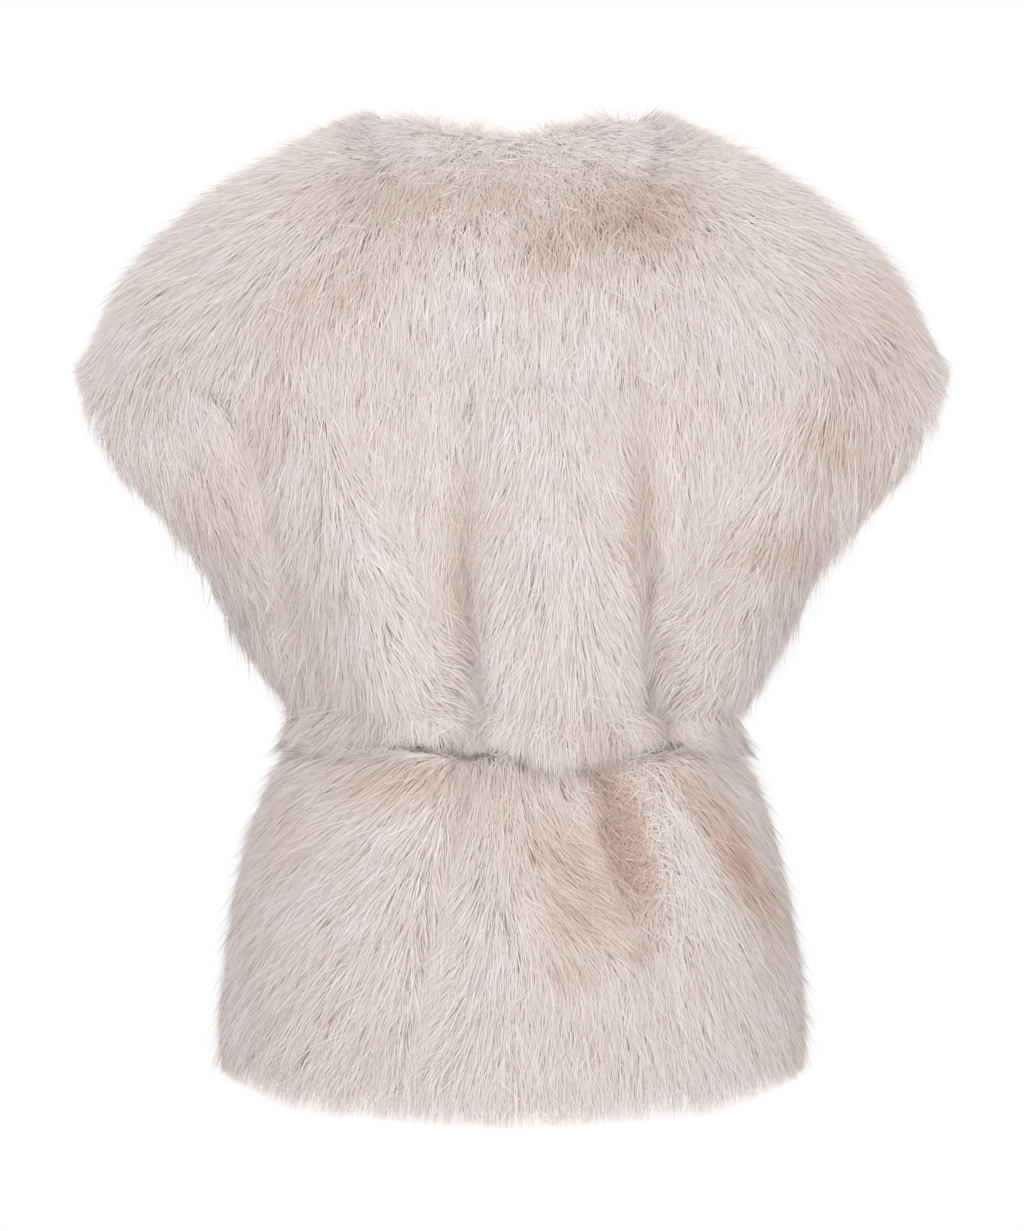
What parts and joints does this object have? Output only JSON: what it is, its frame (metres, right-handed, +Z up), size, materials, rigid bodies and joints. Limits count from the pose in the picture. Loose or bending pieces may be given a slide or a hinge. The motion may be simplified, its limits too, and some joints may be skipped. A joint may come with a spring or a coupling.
{
  "type": "fur vest",
  "caption": "Waist-length sleeveless pile-fur vest worn on an unseen figure, with cap shoulders, a deep front neckline and a narrow buckled strap at the waist.",
  "frame": {"origin": "on the wearer's upright axis, level with the inside of the shoulder seams beside the neck, in the plane of the shoulder and side seams", "axes": "+Z up, the wearer faces -Y, +X to the wearer's left"},
  "size_m": [0.5607, 0.2994, 0.6323],
  "materials": {
    "fur": "long soft pile, pale rose beige",
    "strap": "smooth black",
    "buckle": "satin"
  },
  "bodies": {
    "root": {"back": "fur", "front_left": "fur", "front_right": "fur", "belt_strap": "strap", "belt_keeper": "strap", "buckle_frame": "buckle", "buckle_prong": "buckle"}
  },
  "joints": []
}
